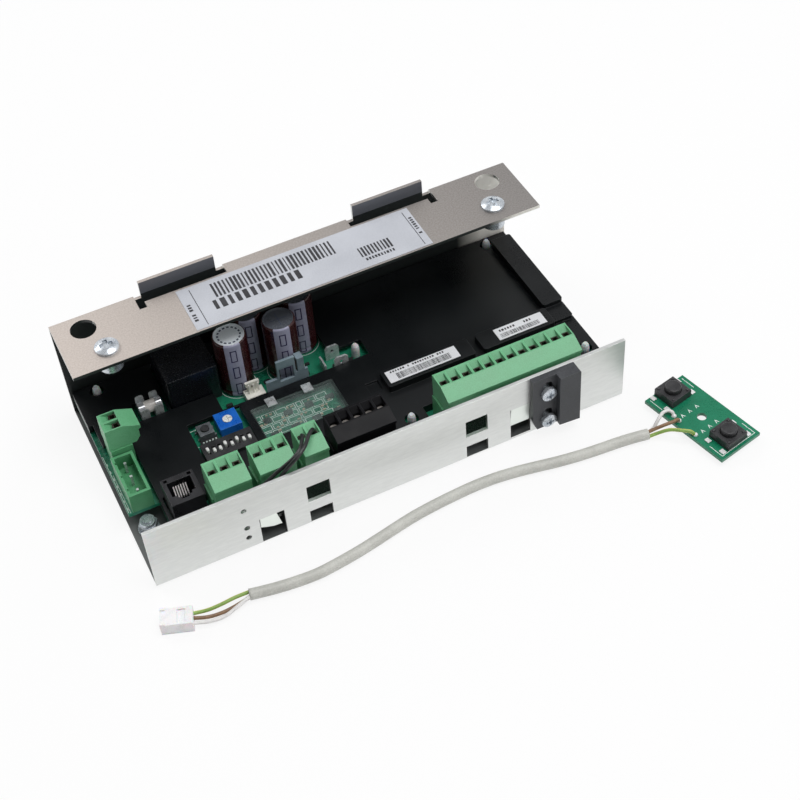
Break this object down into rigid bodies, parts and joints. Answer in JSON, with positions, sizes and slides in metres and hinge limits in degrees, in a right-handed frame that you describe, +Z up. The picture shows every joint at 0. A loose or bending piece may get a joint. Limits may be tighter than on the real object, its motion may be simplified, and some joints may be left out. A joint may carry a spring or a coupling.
{
  "type": "automatic coop door control unit",
  "caption": "Open door control unit: circuit board with plug-in terminals in a bent sheet channel with a hooked flange, plus a separate push-button service lead.",
  "frame": {"origin": "centre of the chassis base, on its underside", "axes": "+X along the chassis to the right end, +Y from the low front wall to the tall rear wall, +Z up from the base"},
  "size_m": [0.25, 0.1571, 0.058],
  "materials": {
    "bare_sheet": "brushed",
    "label_paper": "matte",
    "plated_steel": "plated",
    "white_nylon": "satin",
    "board_green": "solder mask",
    "cover_black": "satin",
    "clear_window": "clear",
    "maroon_sleeve": "glossy",
    "potting_black": "glossy",
    "tinned_metal": "tinned",
    "fuse_ivory": "glazed",
    "ivory_plastic": "satin",
    "jack_black": "satin",
    "contact_gold": "plated",
    "switch_black": "matte",
    "slider_white": "matte",
    "trimmer_blue": "satin",
    "terminal_green": "satin",
    "terminal_black": "satin",
    "wire_black": "satin",
    "stop_black": "satin",
    "cable_grey": "matte",
    "wire_mixed": "satin"
  },
  "bodies": {
    "unit": {"chassis": "bare_sheet", "flange_label": "label_paper", "flange_screws": "plated_steel", "flange_nuts": "plated_steel", "earth_stud": "plated_steel", "earth_nut": "plated_steel", "board_standoffs": "white_nylon", "main_board": "board_green", "board_cover": "cover_black", "cover_labels": "label_paper", "window_pane": "clear_window", "window_clips": "tinned_metal", "capacitor_1": "maroon_sleeve", "capacitor_2": "maroon_sleeve", "capacitor_3": "maroon_sleeve", "capacitor_4": "maroon_sleeve", "potted_transformer": "potting_black", "heat_sink": "tinned_metal", "power_tabs": "tinned_metal", "fuse": "fuse_ivory", "fuse_clips": "tinned_metal", "lead_socket": "ivory_plastic", "phone_jack": "jack_black", "jack_contacts": "contact_gold", "dip_body": "switch_black", "tact_body": "tinned_metal", "trimmer_body": "trimmer_blue", "front_headers": "terminal_green", "header_5": "terminal_black", "side_header": "terminal_green", "mains_header": "terminal_green", "header_pins": "tinned_metal", "stop_screws": "plated_steel", "button_board": "board_green", "remote_switches": "switch_black", "lead_cable": "cable_grey", "lead_wires": "wire_mixed", "lead_plug": "white_nylon"},
    "plug_12": {"plug_12": "terminal_green"},
    "plug_3a": {"plug_3a": "terminal_green"},
    "plug_3b": {"plug_3b": "terminal_green"},
    "plug_2": {"plug_2": "terminal_green", "jumper_wire": "wire_black"},
    "plug_5": {"plug_5": "terminal_black", "plug_5_screws": "tinned_metal"},
    "side_plug": {"side_plug": "terminal_green"},
    "tact_button": {"tact_button": "switch_black"},
    "trimmer_rotor": {"trimmer_rotor": "slider_white"},
    "open_button": {"open_button": "switch_black"},
    "close_button": {"close_button": "switch_black"},
    "side_stop": {"side_stop": "stop_black"},
    "dip_slider_1": {"dip_slider_1": "slider_white"},
    "dip_slider_2": {"dip_slider_2": "slider_white"},
    "dip_slider_3": {"dip_slider_3": "slider_white"},
    "dip_slider_4": {"dip_slider_4": "slider_white"},
    "dip_slider_5": {"dip_slider_5": "slider_white"},
    "dip_slider_6": {"dip_slider_6": "slider_white"},
    "dip_slider_7": {"dip_slider_7": "slider_white"},
    "dip_slider_8": {"dip_slider_8": "slider_white"}
  },
  "joints": [
    {"name": "plug_12_pull", "type": "slide", "parent": "unit", "child": "plug_12", "axis": [0, 0, 1], "range_m": [0, 0.009]},
    {"name": "plug_3a_pull", "type": "slide", "parent": "unit", "child": "plug_3a", "axis": [0, 0, 1], "range_m": [0, 0.009]},
    {"name": "plug_3b_pull", "type": "slide", "parent": "unit", "child": "plug_3b", "axis": [0, 0, 1], "range_m": [0, 0.009]},
    {"name": "plug_2_pull", "type": "slide", "parent": "unit", "child": "plug_2", "axis": [0, 0, 1], "range_m": [0, 0.009]},
    {"name": "plug_5_pull", "type": "slide", "parent": "unit", "child": "plug_5", "axis": [0, 0, 1], "range_m": [0, 0.009]},
    {"name": "side_plug_pull", "type": "slide", "parent": "unit", "child": "side_plug", "axis": [0, 0, 1], "range_m": [0, 0.009]},
    {"name": "dip_slider_1_slide", "type": "slide", "parent": "unit", "child": "dip_slider_1", "axis": [0, 1, 0], "range_m": [-0.0015, 0]},
    {"name": "dip_slider_2_slide", "type": "slide", "parent": "unit", "child": "dip_slider_2", "axis": [0, 1, 0], "range_m": [0, 0.0015]},
    {"name": "dip_slider_3_slide", "type": "slide", "parent": "unit", "child": "dip_slider_3", "axis": [0, 1, 0], "range_m": [0, 0.0015]},
    {"name": "dip_slider_4_slide", "type": "slide", "parent": "unit", "child": "dip_slider_4", "axis": [0, 1, 0], "range_m": [-0.0015, 0]},
    {"name": "dip_slider_5_slide", "type": "slide", "parent": "unit", "child": "dip_slider_5", "axis": [0, 1, 0], "range_m": [0, 0.0015]},
    {"name": "dip_slider_6_slide", "type": "slide", "parent": "unit", "child": "dip_slider_6", "axis": [0, 1, 0], "range_m": [-0.0015, 0]},
    {"name": "dip_slider_7_slide", "type": "slide", "parent": "unit", "child": "dip_slider_7", "axis": [0, 1, 0], "range_m": [0, 0.0015]},
    {"name": "dip_slider_8_slide", "type": "slide", "parent": "unit", "child": "dip_slider_8", "axis": [0, 1, 0], "range_m": [0, 0.0015]},
    {"name": "tact_button_press", "type": "slide", "parent": "unit", "child": "tact_button", "axis": [0, 0, -1], "range_m": [0, 0.00025], "stiffness_N_per_m": 6000},
    {"name": "trimmer_turn", "type": "hinge", "parent": "unit", "child": "trimmer_rotor", "pos_m": [-0.0506, 0.0035, 0.0144], "axis": [0, 0, 1], "range_deg": [-130, 130]},
    {"name": "open_button_press", "type": "slide", "parent": "unit", "child": "open_button", "axis": [0, 0, -1], "range_m": [0, 0.00035], "stiffness_N_per_m": 5000},
    {"name": "close_button_press", "type": "slide", "parent": "unit", "child": "close_button", "axis": [0, 0, -1], "range_m": [0, 0.00035], "stiffness_N_per_m": 5000},
    {"name": "side_stop_slide", "type": "slide", "parent": "unit", "child": "side_stop", "axis": [0, 0, 1], "range_m": [-0.004, 0]}
  ]
}
